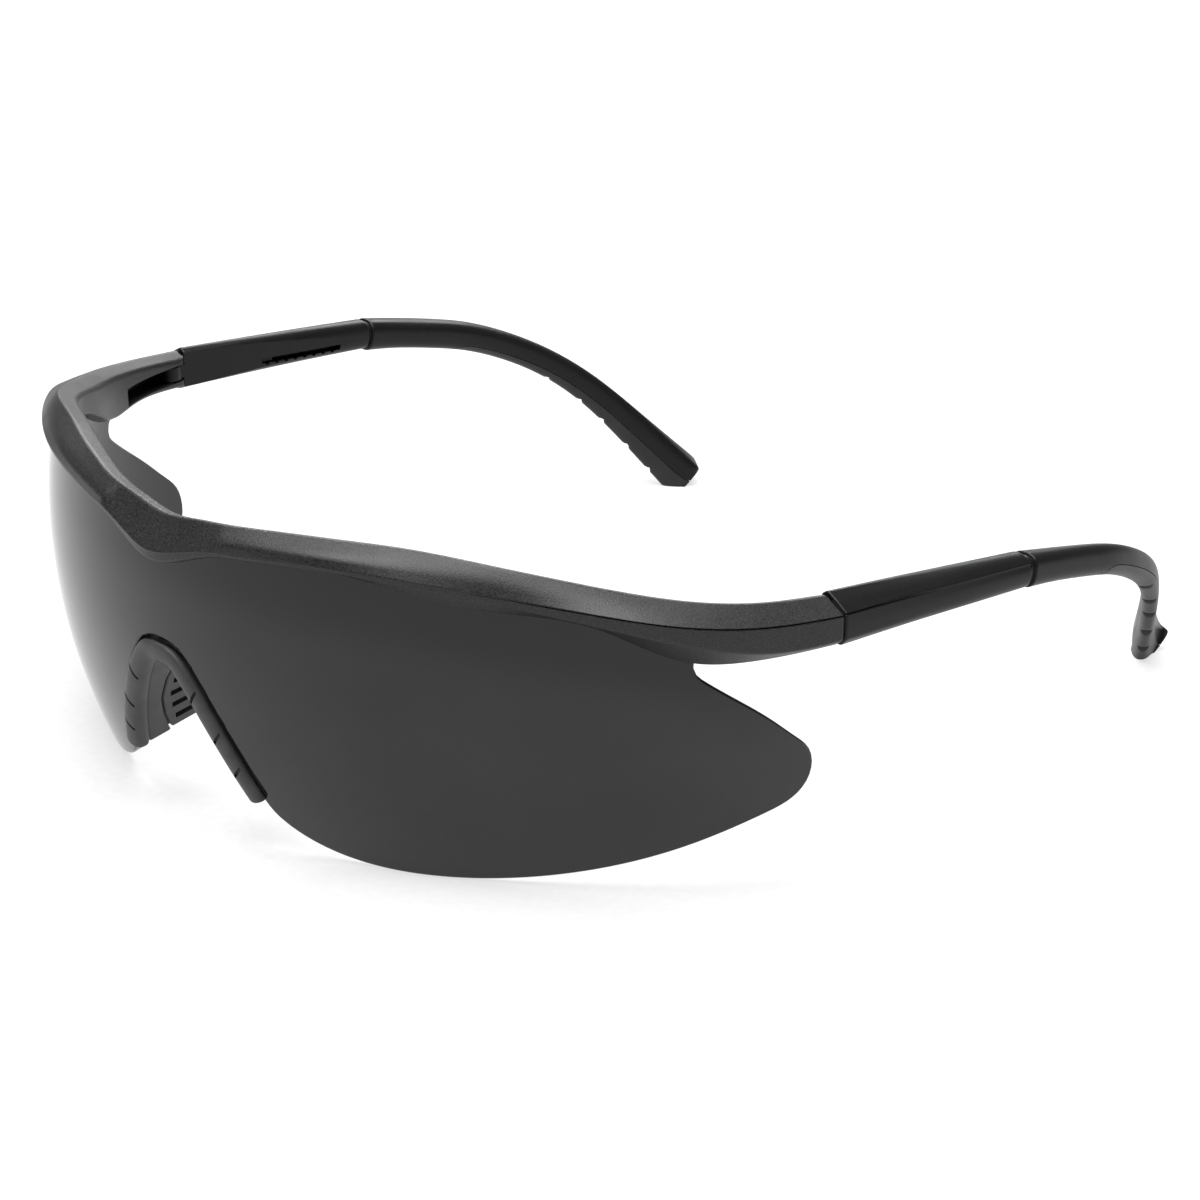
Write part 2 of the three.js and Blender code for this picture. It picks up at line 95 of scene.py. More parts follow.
class Spline:
    """A natural cubic spline through rows of numbers, run from 0 to 1."""

    def __init__(self, rows, knots=None):
        self.rows = np.asarray(rows, float)
        if knots is None:
            steps = np.linalg.norm(np.diff(self.rows, axis=0), axis=1)
            knots = np.concatenate([[0], np.cumsum(steps)]) / steps.sum()
        self.knots = np.asarray(knots, float)
        gaps = np.diff(self.knots)
        slopes = np.diff(self.rows, axis=0) / gaps[:, None]
        system = np.eye(len(self.knots))
        target = np.zeros_like(self.rows)
        for i in range(1, len(self.knots) - 1):
            system[i, i - 1:i + 2] = gaps[i - 1], 2 * (gaps[i - 1] + gaps[i]), gaps[i]
            target[i] = 6 * (slopes[i] - slopes[i - 1])
        self.bend = np.linalg.solve(system, target)

    def at(self, t):
        t = np.atleast_1d(np.asarray(t, float))
        i = np.clip(np.searchsorted(self.knots, t, side="right") - 1, 0, len(self.knots) - 2)
        gap = (self.knots[i + 1] - self.knots[i])[:, None]
        a = (self.knots[i + 1] - t)[:, None] / gap
        b = 1 - a
        straight = a * self.rows[i] + b * self.rows[i + 1]
        return straight + ((a**3 - a) * self.bend[i] + (b**3 - b) * self.bend[i + 1]) * gap**2 / 6


def two_sided(rows):
    """Left-hand rows, the first on the middle plane, with their mirror images put before them."""
    rows = np.asarray(rows, float)
    return np.concatenate([(rows * ([-1] + [1] * (rows.shape[1] - 1)))[:0:-1], rows])


def smooth(x):
    """0 below 0, 1 above 1 and an easy rise between."""
    x = np.clip(x, 0, 1)
    return x * x * (3 - 2 * x)


def read(values, t):
    """Reads a row of evenly spaced values at t from 0 to 1."""
    return float(np.interp(t, np.linspace(0, 1, len(values)), values))


def fillet(corners, radii, steps=5):
    """A closed outline through corners, each rounded by a curve that starts `radius` before it."""
    corners = np.asarray(corners, float)
    ring = []
    for i, corner in enumerate(corners):
        arms = []
        for neighbour in (corners[i - 1], corners[(i + 1) % len(corners)]):
            arm = neighbour - corner
            length = np.linalg.norm(arm)
            arms.append(corner + arm * min(radii[i] / max(length, 1e-9), 0.46))
        for t in np.linspace(0, 1, steps):
            ring.append((1 - t) ** 2 * arms[0] + 2 * t * (1 - t) * corner + t**2 * arms[1])
    return np.array(ring)


def rounded_end(rings, radius, steps):
    """Rings that end a loft with a rounded edge in place of those within `radius` of its last ring."""
    last = rings[-1]
    centre = last.mean(0)
    way = centre - rings[-2].mean(0)
    way /= np.linalg.norm(way)
    kept = [ring for ring in rings if (centre - ring.mean(0)) @ way > radius * 1.05]
    out = last - centre
    reach = np.maximum(np.linalg.norm(out, axis=1, keepdims=True), 1e-6)
    for angle in np.linspace(0, math.pi / 2, steps + 1):
        shrunk = out * np.clip(1 - radius * (1 - math.cos(angle)) / reach, 0, 1)
        kept.append(centre + shrunk + way * radius * (math.sin(angle) - 1))
    return kept


def rounded_ends(rings, radius, ends=(True, True), steps=4):
    """A loft's rings with its first end, its last end or both rounded."""
    rings = [np.asarray(ring) for ring in rings]
    if ends[1]:
        rings = rounded_end(rings, radius, steps)
    if ends[0]:
        rings = rounded_end(rings[::-1], radius, steps)[::-1]
    return rings


def face_out(shape):
    """Turns every face of a closed bmesh outwards."""
    bmesh.ops.recalc_face_normals(shape, faces=shape.faces)
    if shape.calc_volume(signed=True) < 0:
        bmesh.ops.reverse_faces(shape, faces=shape.faces)


def new_object(name, vertices, faces):
    mesh = bpy.data.meshes.new(name)
    mesh.from_pydata([tuple(v) for v in vertices], [], faces)
    shape = bmesh.new()
    shape.from_mesh(mesh)
    bmesh.ops.remove_doubles(shape, verts=shape.verts, dist=1e-5)
    face_out(shape)
    shape.to_mesh(mesh)
    shape.free()
    made = bpy.data.objects.new(name, mesh)
    bpy.context.scene.collection.objects.link(made)
    return made


def loft(name, rings):
    """A closed solid through a row of rings of the same number of points."""
    count = len(rings[0])
    vertices = np.concatenate([np.asarray(ring) for ring in rings])
    faces = []
    for i in range(len(rings) - 1):
        for j in range(count):
            a, b = i * count + j, i * count + (j + 1) % count
            faces.append((a, b, b + count, a + count))
    faces.append(tuple(range(count))[::-1])
    faces.append(tuple(range((len(rings) - 1) * count, len(rings) * count)))
    return new_object(name, vertices, faces)


def prism(points, low, high):
    """A plan outline in x and y raised between two heights."""
    return loft("prism", [np.array([(x, y, z) for x, y in points]) for z in (low, high)])


def post(x, y, low, high, radius, sides=64):
    angles = np.linspace(0, 2 * math.pi, sides, endpoint=False)
    return prism([(x + radius * math.cos(a), y + radius * math.sin(a)) for a in angles], low, high)


def block(low, high):
    plan = [(low[0], low[1]), (high[0], low[1]), (high[0], high[1]), (low[0], high[1])]
    return prism(plan, low[2], high[2])


def split_caps(solid):
    """Splits faces of more than four corners into triangles, which exact booleans handle more safely."""
    shape = bmesh.new()
    shape.from_mesh(solid.data)
    bmesh.ops.triangulate(shape, faces=[face for face in shape.faces if len(face.verts) > 4])
    shape.to_mesh(solid.data)
    shape.free()


def combine(base, others, operation):
    """Joins others to base, or cuts them from it. The others are used up."""
    for other in others:
        split_caps(base)
        split_caps(other)
        step = base.modifiers.new("combine", "BOOLEAN")
        step.operation = operation
        step.solver = "EXACT"
        step.object = other
        bpy.context.view_layer.update()
        result = bpy.data.meshes.new_from_object(base.evaluated_get(bpy.context.evaluated_depsgraph_get()))
        base.modifiers.clear()
        base.data = result
        bpy.data.objects.remove(other)
    return base


def cut(base, *others):
    return combine(base, others, "DIFFERENCE")


def join(base, *others):
    return combine(base, others, "UNION")


def mirrored(source):
    """A copy of a solid on the other side of the middle plane."""
    copy = source.copy()
    copy.data = source.data.copy()
    copy.data.transform(MIRROR)
    copy.data.flip_normals()
    bpy.context.scene.collection.objects.link(copy)
    return copy


def publish(solid, name, body, material, sharp=35.0):
    """Turns a finished solid into the visible piece that stands for the CAD node of the same name."""
    node = name
    solid.name = f"{name}_shell"
    solid.data.name = solid.name
    solid.data.transform(REST)
    solid.data.materials.clear()
    solid.data.materials.append(material)
    solid.data.shade_smooth()
    solid.data.set_sharp_from_angle(angle=math.radians(sharp))
    weighted = solid.modifiers.new("weighted_normals", "WEIGHTED_NORMAL")
    weighted.keep_sharp = True
    weighted.mode = "FACE_AREA_WITH_ANGLE"
    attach(solid, body)
    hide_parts(node)
    return solid


def publish_pair(solid, name, body, material, sharp=35.0):
    other = mirrored(solid)
    publish(solid, f"{name}_left", f"{body}_left", material, sharp)
    publish(other, f"{name}_right", f"{body}_right", material, sharp)

# ---------------------------------------------------------------- materials


def new_material(name):
    """A material, its node tree, its shader and a place to read object coordinates from."""
    material = bpy.data.materials.new(name)
    material.use_nodes = True
    nodes = material.node_tree.nodes
    return material, nodes, nodes["Principled BSDF"], nodes.new("ShaderNodeTexCoord")


def noise(nodes, links, place, scale, detail=3.0):
    texture = nodes.new("ShaderNodeTexNoise")
    texture.inputs["Scale"].default_value = scale
    texture.inputs["Detail"].default_value = detail
    links.new(place.outputs["Object"], texture.inputs["Vector"])
    return texture.outputs["Fac"]


def ramp(nodes, links, source, stops):
    """Maps a noise to colours, or to greys for a number."""
    node = nodes.new("ShaderNodeValToRGB")
    for i, (at, value) in enumerate(stops):
        element = node.color_ramp.elements[i] if i < 2 else node.color_ramp.elements.new(at)
        element.position = at
        element.color = (*value, 1) if isinstance(value, tuple) else (value, value, value, 1)
    links.new(source, node.inputs["Fac"])
    return node.outputs["Color"]


def bump(nodes, links, layers, shader):
    """Stacks bump layers, each (height, strength, distance in metres)."""
    normal = None
    for height, strength, distance in layers:
        node = nodes.new("ShaderNodeBump")
        node.inputs["Strength"].default_value = strength
        node.inputs["Distance"].default_value = distance
        links.new(height, node.inputs["Height"])
        if normal is not None:
            links.new(normal, node.inputs["Normal"])
        normal = node.outputs["Normal"]
    links.new(normal, shader.inputs["Normal"])


def moulded_plastic(name, dark, light, roughness, gloss, grain_size, grain_depth):
    """Black nylon with a fine moulded grain. `gloss` is the strength of its mirror reflection."""
    material, nodes, shader, place = new_material(name)
    links = material.node_tree.links
    grain = noise(nodes, links, place, 1 / grain_size, 2)
    patches = noise(nodes, links, place, 90, 3)
    links.new(ramp(nodes, links, grain, [(0.35, dark), (0.68, light)]), shader.inputs["Base Color"])
    low, high = roughness
    links.new(ramp(nodes, links, patches, [(0.3, low), (0.7, high)]), shader.inputs["Roughness"])
    shader.inputs["IOR"].default_value = 1.5
    shader.inputs["Specular IOR Level"].default_value = gloss
    fine = noise(nodes, links, place, 2.6 / grain_size, 2)
    bump(nodes, links, [(grain, 1.0, grain_depth), (fine, 0.6, grain_depth * 0.4)], shader)
    return material


def soft_rubber(name, dark, light, roughness):
    """Matt elastomer with a faint mottle and a soft edge sheen."""
    material, nodes, shader, place = new_material(name)
    links = material.node_tree.links
    mottle = noise(nodes, links, place, 420, 4)
    links.new(ramp(nodes, links, mottle, [(0.3, dark), (0.72, light)]), shader.inputs["Base Color"])
    smudge = noise(nodes, links, place, 130, 3)
    low, high = roughness
    links.new(ramp(nodes, links, smudge, [(0.3, low), (0.7, high)]), shader.inputs["Roughness"])
    shader.inputs["IOR"].default_value = 1.5
    shader.inputs["Specular IOR Level"].default_value = 0.36
    shader.inputs["Sheen Weight"].default_value = 0.08
    shader.inputs["Sheen Roughness"].default_value = 0.5
    pores = noise(nodes, links, place, 3800, 2)
    bump(nodes, links, [(mottle, 0.5, 4e-5), (pores, 0.7, 1.2e-5)], shader)
    return material


def fade_along(nodes, links, place, direction, start, end):
    """0 before `start` and 1 past `end`, both in design millimetres along a design direction."""
    along = Vector(direction)
    origin = along.dot(REST.inverted() @ Vector((0, 0, 0)))
    distance = nodes.new("ShaderNodeVectorMath")
    distance.operation = "DOT_PRODUCT"
    distance.inputs[1].default_value = turn.to_3x3() @ along * 1000
    links.new(place.outputs["Object"], distance.inputs[0])
    fade = nodes.new("ShaderNodeMapRange")
    fade.interpolation_type = "SMOOTHSTEP"
    fade.inputs["From Min"].default_value = start - origin
    fade.inputs["From Max"].default_value = end - origin
    links.new(distance.outputs["Value"], fade.inputs["Value"])
    return fade.outputs["Result"]


def smoke_polycarbonate():
    """Dark smoke shield: polished, almost opaque, with painted shade that darkens its colour under the brow,
    and a trace of polish haze.
    """
    material, nodes, shader, place = new_material("smoke_polycarbonate")
    links = material.node_tree.links
    cloud = noise(nodes, links, place, 45, 3)
    tint = ramp(nodes, links, cloud, [(0.3, (0.0105, 0.0107, 0.0112)), (0.7, (0.0165, 0.0167, 0.0174))])
    # Painted shade: the base colour darkens towards the top of the shield, where the brow bar overhangs it.
    painted_brow_shade = fade_along(nodes, links, place, (0, 0.25, 1), -20, -12)
    shade = nodes.new("ShaderNodeVectorMath")
    shade.operation = "MULTIPLY"
    links.new(tint, shade.inputs[0])
    links.new(ramp(nodes, links, painted_brow_shade, [(0.0, 1.0), (1.0, 0.1)]), shade.inputs[1])
    links.new(shade.outputs["Vector"], shader.inputs["Base Color"])
    haze = noise(nodes, links, place, 160, 5)
    links.new(ramp(nodes, links, haze, [(0.35, 0.05), (0.75, 0.09)]), shader.inputs["Roughness"])
    shader.inputs["IOR"].default_value = 1.44
    shader.inputs["Transmission Weight"].default_value = 0.15
    return material


def drawn_steel():
    """Plain wire steel with fine rings from drawing."""
    material, nodes, shader, place = new_material("drawn_steel")
    links = material.node_tree.links
    rings = noise(nodes, links, place, 2500, 2)
    links.new(ramp(nodes, links, rings, [(0.3, 0.42), (0.7, 0.6)]), shader.inputs["Base Color"])
    links.new(ramp(nodes, links, rings, [(0.3, 0.28), (0.7, 0.42)]), shader.inputs["Roughness"])
    shader.inputs["Metallic"].default_value = 1.0
    return material


BROW_NYLON = moulded_plastic("brow_nylon", 0.004, 0.024, (0.38, 0.48), 0.32, 2.2e-4, 3e-5)
TEMPLE_NYLON = moulded_plastic("temple_nylon", 0.004, 0.008, (0.32, 0.42), 0.18, 2.2e-4, 0.9e-5)
NOSE_RUBBER = soft_rubber("nose_rubber", 0.03, 0.045, (0.5, 0.62))
GRIP_RUBBER = soft_rubber("grip_rubber", 0.005, 0.01, (0.44, 0.56))
LENS_SMOKE = smoke_polycarbonate()
PIN_STEEL = drawn_steel()

# ---------------------------------------------------------------- shield


def on_lens(across, rise, depth):
    """Points of the toric shield: millimetres round the face, up the arc and in front of its surface."""
    spin = np.asarray(across, float) / LENS_ROUND
    pitch = np.asarray(rise, float) / LENS_TALL
    tall = LENS_TALL + np.asarray(depth, float)
    reach = LENS_ROUND - LENS_TALL + tall * np.cos(pitch)
    up = tall * np.sin(pitch)
    front = -reach * np.cos(spin) * LENS_DEEPEN
    return np.stack([
        reach * np.sin(spin),
        front * math.cos(LENS_LEAN) - up * math.sin(LENS_LEAN) + LENS_CENTRE[0],
        front * math.sin(LENS_LEAN) + up * math.cos(LENS_LEAN) + LENS_CENTRE[1],
    ], axis=-1)


# Left half of the shield's flat pattern, as (round, rise), from the nose notch out and back over the top.
NOSE_EDGE = [(0, 43), (3.4, 42.5), (5.8, 40.4), (8.8, 35.8), (11.4, 30.6), (13.6, 25.2), (15.6, 19.6)]
LOWER_EDGE = [(19.6, 14.9), (26, 11.1), (40, 6.5), (57, 2.4), (75, -1.4), (88, -3.8)]
LOBE_EDGE = [(93.6, -4.3), (97, -2.6), (98.7, 1.4), (97.9, 4.4), (96, 9.6), (90.4, 21.6)]
HOOK_EDGE = [(89.9, 23.4), (90.6, 25), (93.5, 26.2), (94.5, 27.6), (93.5, 28.6)]
UPPER_EDGE = [(88.8, 29.6), (86, 33.2), (81.3, 37.9), (76.3, 42.2), (64, 49.2), (50.9, 54.8),
              (38.8, 59.2), (25.7, 60.4), (15.5, 60), (9.1, 59.1), (0, 57.9)]


def stand_off(rows, distances):
    """An outline's rows moved sideways, away from the notch that they go round."""
    rows = np.array([(-rows[1][0], rows[1][1]), *rows], float)
    ahead = np.gradient(rows, axis=0)
    ahead /= np.linalg.norm(ahead, axis=1, keepdims=True)
    return rows[1:] + (np.stack([-ahead[:, 1], ahead[:, 0]], axis=1))[1:] * np.array(distances)[:, None]


def mirrored_through(rows, lead):
    """A spline through half an outline that crosses the middle plane smoothly at both ends."""
    rows = [np.array(row, float) for row in rows]
    before = [row * (-1, 1) for row in rows[lead:0:-1]]
    after = [row * (-1, 1) for row in rows[-2:-2 - lead:-1]]
    curve = Spline([*before, *rows, *after])
    return curve, curve.knots[lead], curve.knots[-1 - lead]


def lens_outline(samples=230):
    """The shield's whole flat outline as a closed, anticlockwise row of points."""
    half = [*stand_off(NOSE_EDGE, RIM_CLEARANCE), *LOWER_EDGE, *LOBE_EDGE, *HOOK_EDGE, *UPPER_EDGE]
    curve, start, end = mirrored_through(half, 2)
    left = curve.at(np.linspace(start, end, samples))
    return np.concatenate([left, (left * (-1, 1))[-2:0:-1]])


def inset(outline, distance):
    """The outline moved towards its inside."""
    ahead = np.roll(outline, -1, axis=0) - np.roll(outline, 1, axis=0)
    ahead /= np.linalg.norm(ahead, axis=1, keepdims=True)
    return outline + np.stack([-ahead[:, 1], ahead[:, 0]], axis=1) * distance


def build_lens():
    outline = lens_outline()
    rings = []
    for face, way in ((-LENS_THICK, 1), (0.0, -1)):
        turns = np.linspace(0, math.pi / 2, 5)
        for angle in turns if way > 0 else turns[::-1]:
            ring = inset(outline, LENS_EDGE * (1 - math.sin(angle)))
            depth = face + way * LENS_EDGE * (1 - math.cos(angle))
            rings.append(np.column_stack([ring, np.full(len(ring), depth)]))
    plate = loft("lens", rings)
    shape = bmesh.new()
    shape.from_mesh(plate.data)
    for axis, low, high in ((0, -98, 98), (1, -4, 60)):
        normal = (1, 0, 0) if axis == 0 else (0, 1, 0)
        for place in np.arange(low, high, LENS_GRID):
            spot = (place, 0, 0) if axis == 0 else (0, place, 0)
            bmesh.ops.bisect_plane(shape, geom=shape.verts[:] + shape.edges[:] + shape.faces[:],
                                   plane_co=spot, plane_no=normal, dist=1e-4)
    flat = np.array([v.co for v in shape.verts])
    for vertex, point in zip(shape.verts, on_lens(flat[:, 0], flat[:, 1], flat[:, 2])):
        vertex.co = point
    shape.to_mesh(plate.data)
    shape.free()
    return plate


# ---------------------------------------------------------------- brow bar

# Each rail runs from the middle of the bar to the left hinge seam through matching stations.
BROW_RAILS = {
    "ridge": [(0, -58.6, 8.1), (6, -58.4, 8.8), (11.3, -57.7, 9.3), (15, -56.8, 9.6), (21, -54.4, 9.9),
              (27, -51.7, 10), (37, -46.7, 10), (49, -40, 8.7), (58.5, -29.7, 5.6), (64.5, -21.8, 3.5),
              (69, -11.9, 1.6), (71.1, SEAM_Y, 0)],
    "face": [(0, -61.2, 5.9), (6, -60.8, 6.6), (12, -60.1, 7.6), (16.1, -59.2, 8), (22.4, -57.2, 8.5),
             (28.9, -54.5, 8.8), (38.5, -48.9, 8.6), (50.2, -41, 7.1), (59.8, -31.7, 4.6), (66.2, -23.7, 2.6),
             (70.8, -11.8, 0.4), (72.9, SEAM_Y, -1)],
    "crease": [(0, -62.2, 3.6), (6, -61.5, 4.7), (12, -60.4, 6.1), (16.1, -59.4, 6.4), (22.6, -57.5, 7),
               (29.3, -55, 7.3), (39.3, -49.8, 6.9), (51.1, -41.5, 5.3), (60.8, -33.3, 3.4),
               (67.8, -25.4, 1.6), (72.6, -11.9, -0.9), (74.7, SEAM_Y, -2.1)],
    "eave": [(0, -61.8, 1.9), (6, -61.2, 3.3), (12, -60.2, 5.3), (16.1, -59.2, 5.8), (22.5, -57.4, 6.3),
             (29.2, -54.9, 6.6), (39.2, -49.7, 6.1), (50.9, -41.3, 4.1), (60.4, -33, 1.4),
             (67.3, -24.9, -1.3), (72.5, -11.6, -5), (74.6, SEAM_Y, -5.9)],
    "front_foot": [(0, -60.8, 1.5), (6, -60.3, 2.8), (11.8, -59.3, 4.8), (15.9, -58.3, 5.3), (22, -56.7, 5.9),
                   (28.8, -54, 6.3), (38, -49, 4.2), (49, -41.2, 2.4), (57.4, -32.2, 0.4),
                   (65.4, -20.7, -6), (70.5, -11, -6.8), (73.2, SEAM_Y, -7)],
    "rear_foot": [(0, -57.1, 2.2), (5.6, -56.8, 3.3), (11, -55.8, 4.9), (14.9, -54.8, 5.6),
                  (21, -53, 6.2), (27.4, -50.7, 6.4), (35.8, -46.2, 5.2), (46.4, -38.8, 3.6),
                  (54.2, -30.2, 1.2), (62.3, -19, -4.3), (67.1, -10, -4.8), (68.9, SEAM_Y, -5.5)],
    "rear_top": [(0, -56.3, 7.3), (5.4, -56, 7.8), (10.6, -55.3, 8.3), (14.2, -54.4, 8.6), (20, -52, 8.8),
                 (25.8, -49.3, 8.9), (35.4, -44.4, 8.8), (46.9, -37.7, 7.5), (55.9, -27.9, 4.4),
                 (61.9, -20.5, 2.2), (66.4, -11.4, 0.5), (68.6, SEAM_Y, -1)],
}
BROW_ROUNDING = {"ridge": 0.5, "face": 2.2, "crease": 0.15, "groove": 0.03, "lip": 0.08, "eave": 0.35,
                 "front_foot": 0.65, "rear_foot": 0.5, "rear_top": 0.7}
BROW_END_ROUNDING = 0.3
BROW_STEPS = 300
SCOOP_REACH = 12.2                      # half width of the shallow scoop over the nose
SCOOP_DEPTH = 0.8
SCOOP_EDGE = 0.9
GROOVE_IN, GROOVE_DOWN, LIP_DOWN = 0.4, 0.16, 0.3   # the fine groove under the outside crease
GROOVE_FADE = (40, 60)                  # distances from the middle where it starts and is whole


def brow_blank():
    crease = two_sided(BROW_RAILS["crease"])
    chord = np.linalg.norm(np.diff(crease, axis=0), axis=1)
    knots = np.concatenate([[0], np.cumsum(chord)]) / chord.sum()
    steps = np.linspace(0, 1, BROW_STEPS + 1)
    lines = {}
    for name, rows in BROW_RAILS.items():
        line = Spline(two_sided(rows))
        lines[name] = line.at(np.interp(steps, knots, line.knots))
    scoop = smooth((SCOOP_REACH - np.abs(lines["face"][:, 0])) / SCOOP_EDGE)
    lines["face"] += np.outer(scoop, (0, SCOOP_DEPTH, -0.1))
    side = lines["crease"][:, 0]
    share = smooth((np.abs(side) - GROOVE_FADE[0]) / (GROOVE_FADE[1] - GROOVE_FADE[0]))
    lines["groove"] = lines["crease"] + np.column_stack(
        [-np.sign(side) * share * GROOVE_IN, share * GROOVE_IN * 0.3, np.full_like(share, -GROOVE_DOWN)])
    lines["lip"] = lines["crease"] + (lines["eave"] - lines["crease"]) * LIP_DOWN / np.linalg.norm(
        lines["eave"] - lines["crease"], axis=1, keepdims=True)
    rings = [fillet([lines[name][i] for name in BROW_ROUNDING], list(BROW_ROUNDING.values()), 6)
             for i in range(BROW_STEPS + 1)]
    return loft("brow_bar", rounded_ends(rings, BROW_END_ROUNDING))


def hinge_rooms():
    """What is cut away at the left hinge: the pocket, the lug's rounding and the pin hole."""
    x, y = HINGE[0], HINGE[1]
    inside, behind = 60, 5                  # plan limits, clear of the end piece
    plan = [(inside, POCKET["front"]), *POCKET_WALL, (x + LUG_RADIUS, y), (x + LUG_RADIUS, behind),
            (inside, behind)]
    corner = cut(block((inside, y, -FAR), (x, y + 8, FAR)), post(x, y, -FAR - 1, FAR + 1, LUG_RADIUS))
    pin_hole = post(x, y, -FAR, PIN_TOP, PIN_RADIUS + GAP)
    return [prism(plan, POCKET["low"], POCKET["high"]), corner, pin_hole]


def build_brow_bar():
    bar = brow_blank()
    rooms = hinge_rooms()
    others = [mirrored(room) for room in rooms]
    return cut(bar, *rooms, *others)


# ---------------------------------------------------------------- nose piece

NOSE_PATH = [(0, 43), (3.4, 42.5), (5.8, 40.4), (8.8, 35.8), (11.4, 30.6), (13.6, 25.2), (15.3, 20.6)]
# Section of the rim as (across, depth): across grows towards the shield, depth towards the front.
RIM_SECTION = [(-2.5, -0.9), (-2.3, 0.7), (-0.9, 1.25), (0.35, 1.1), (0.75, 0.5), (0.6, 0.05), (0.1, -0.15),
               (0.1, -2.0), (1.9, -2.0), (1.9, -3.2), (-1.7, -3.4), (-1.75, -1.6)]
RIM_ROUNDING = [0.6, 0.9, 0.8, 0.5, 0.25, 0.1, 0.1, 0.1, 0.1, 0.3, 0.3, 0.25]
RIM_CLEARANCE = [1.2, 1.2, 1.2, 1.2, 1.15, 0.9, 0.0]    # how far the shield's edge stands off the nose path
RIM_SLITS = (0.36, 0.6, 0.8)            # places of the slits down each leg, of 1 at its end
SLIT_HALF, SLIT_SLANT = 0.01, 0.018
SLIT_CORNERS = [(-1.9, 0.4), (0.5, 0.4), (0.5, 2), (-1.9, 2)]
RIM_STEPS = 141
WING_START, PAD_SPAN, SLOT_SPAN = 0.21, (0.33, 0.98), (0.46, 0.9)
WING_SIDES, WING_FRONT = (-1.85, -0.8), 1.6
PAD_SIDES, TONGUE_SIDES, TONGUE_REACH = (-1.85, -0.65), (-1.2, -0.75), 1
SLOT_NEAR, SLOT_FAR = 1.3, 1.1          # pad left whole in front of the slots and behind them
WING_DEPTH = [7, 6.2, 4.8, 4.2, 4.6, 5.5]
PAD_DEPTH = [9.8, 11.4, 12.2, 12.2, 11.4]
PAD_SLOTS = 5
SLOT_HALF = 0.022                       # half a slot's height, as a share of the leg
NOSE_CURVE = Spline(two_sided(NOSE_PATH))


def beside_nose(s, across, depth):
    """A point beside the nose path; s runs from -1 at the right leg's end to 1 at the left leg's."""
    t = (s + 1) / 2
    place = NOSE_CURVE.at(t)[0]
    ahead = NOSE_CURVE.at(min(t + 1e-3, 1))[0] - NOSE_CURVE.at(max(t - 1e-3, 0))[0]
    shrink = 1 - LENS_TALL / LENS_ROUND + LENS_TALL / LENS_ROUND * math.cos(place[1] / LENS_TALL)
    outward = np.array([-ahead[1], ahead[0] * shrink])
    outward /= np.linalg.norm(outward)
    return on_lens(place[0] + outward[0] * across / shrink, place[1] + outward[1] * across, depth)


def leg_wall(span, sides, front, back, rounding=0.3, steps=40):
    """A thin wall standing back from the left leg between two depths that change down the leg."""
    rings = []
    for u in np.linspace(0, 1, steps):
        s = span[0] + (span[1] - span[0]) * u
        corners = [(sides[0], front(u)), (sides[1], front(u)), (sides[1], back(u)), (sides[0], back(u))]
        rings.append(fillet([beside_nose(s, across, -depth) for across, depth in corners], [rounding] * 4, 4))
    return loft("wall", rounded_ends(rings, 0.2))


def leg_slit(s, half, slant, corners):
    """A cutter across the left leg at s. It slants down the leg towards the nose."""
    return loft("slit", [np.array([beside_nose(s + way * half - across * slant, across, depth)
                                   for across, depth in corners]) for way in (-1, 1)])


def build_nose_bridge():
    rings = []
    for s in np.linspace(-1, 1, RIM_STEPS):
        corners = [beside_nose(s, across, depth) for across, depth in RIM_SECTION]
        rings.append(fillet(corners, RIM_ROUNDING, 5))
    rim = loft("nose_bridge", rounded_ends(rings, 0.6, steps=6))
    wing = leg_wall((WING_START, 1), WING_SIDES, lambda u: WING_FRONT, lambda u: read(WING_DEPTH, u))
    join(rim, mirrored(wing), wing)
    slits = [leg_slit(s, SLIT_HALF, SLIT_SLANT, SLIT_CORNERS) for s in RIM_SLITS]
    return cut(rim, *[mirrored(slit) for slit in slits], *slits)


def build_nose_pad():
    """The soft pad behind the left wing: a slotted wall, held to the wing by a thin tongue."""
    start, end = PAD_SPAN

    def front(u):
        return read(WING_DEPTH, 0.17 + 0.8 * u) + GAP

    def back(u):
        return read(PAD_DEPTH, u)

    wall = leg_wall(PAD_SPAN, PAD_SIDES, front, back)
    tongue = leg_wall(PAD_SPAN, TONGUE_SIDES, lambda u: front(u) - TONGUE_REACH,
                      lambda u: front(u) + TONGUE_REACH)
    slots = []
    for s in np.linspace(*SLOT_SPAN, PAD_SLOTS):
        u = (s - start) / (end - start)
        near, far = -front(u) - SLOT_NEAR, -back(u) + SLOT_FAR
        slots.append(leg_slit(s, SLOT_HALF, 0, [(-3, near), (-0.9, near), (-0.9, far), (-3, far)]))
    return cut(join(wall, tongue), *slots)


# ---------------------------------------------------------------- temples

SLEEVE_FRONT = [(-1.1, 3.9), (0.8, 2.8), (2.6, 1.5), (2.7, -0.5), (2.6, -2.5), (1.5, -3.7),
                (-0.8, -3.2), (-2.6, -2.3), (-2.9, 0), (-2.6, 2.9)]
SLEEVE_REAR = [(-0.7, 2.65), (0.9, 2.45), (2.1, 1.5), (2.5, 0.1), (2.2, -1.6), (1.2, -2.6),
               (-0.8, -2.4), (-2.1, -1.7), (-2.45, 0), (-2.1, 2)]
SLEEVE_ROUNDING = [0.5, 0.6, 0.15, 0.03, 0.08, 1.5, 0.35, 0.5, 0.8, 0.6, 1.2, 0.6]
SLEEVE_REAR_ROUNDING = [1.5, 1.6, 1.65, 0.2, 0.5, 1.5, 1.65, 1.5, 0.8, 1.6, 1.2, 1.6]
SLEEVE_GROOVE_END = 0.6                 # share of the sleeve along which the groove fades out
SHOULDER = 0.86                         # size of the shoulders in the seams, against the section beside them
HINGE_PLAY, TIP_PLAY = 0.2, 0.08        # play between each shoulder and the face that it fills up to
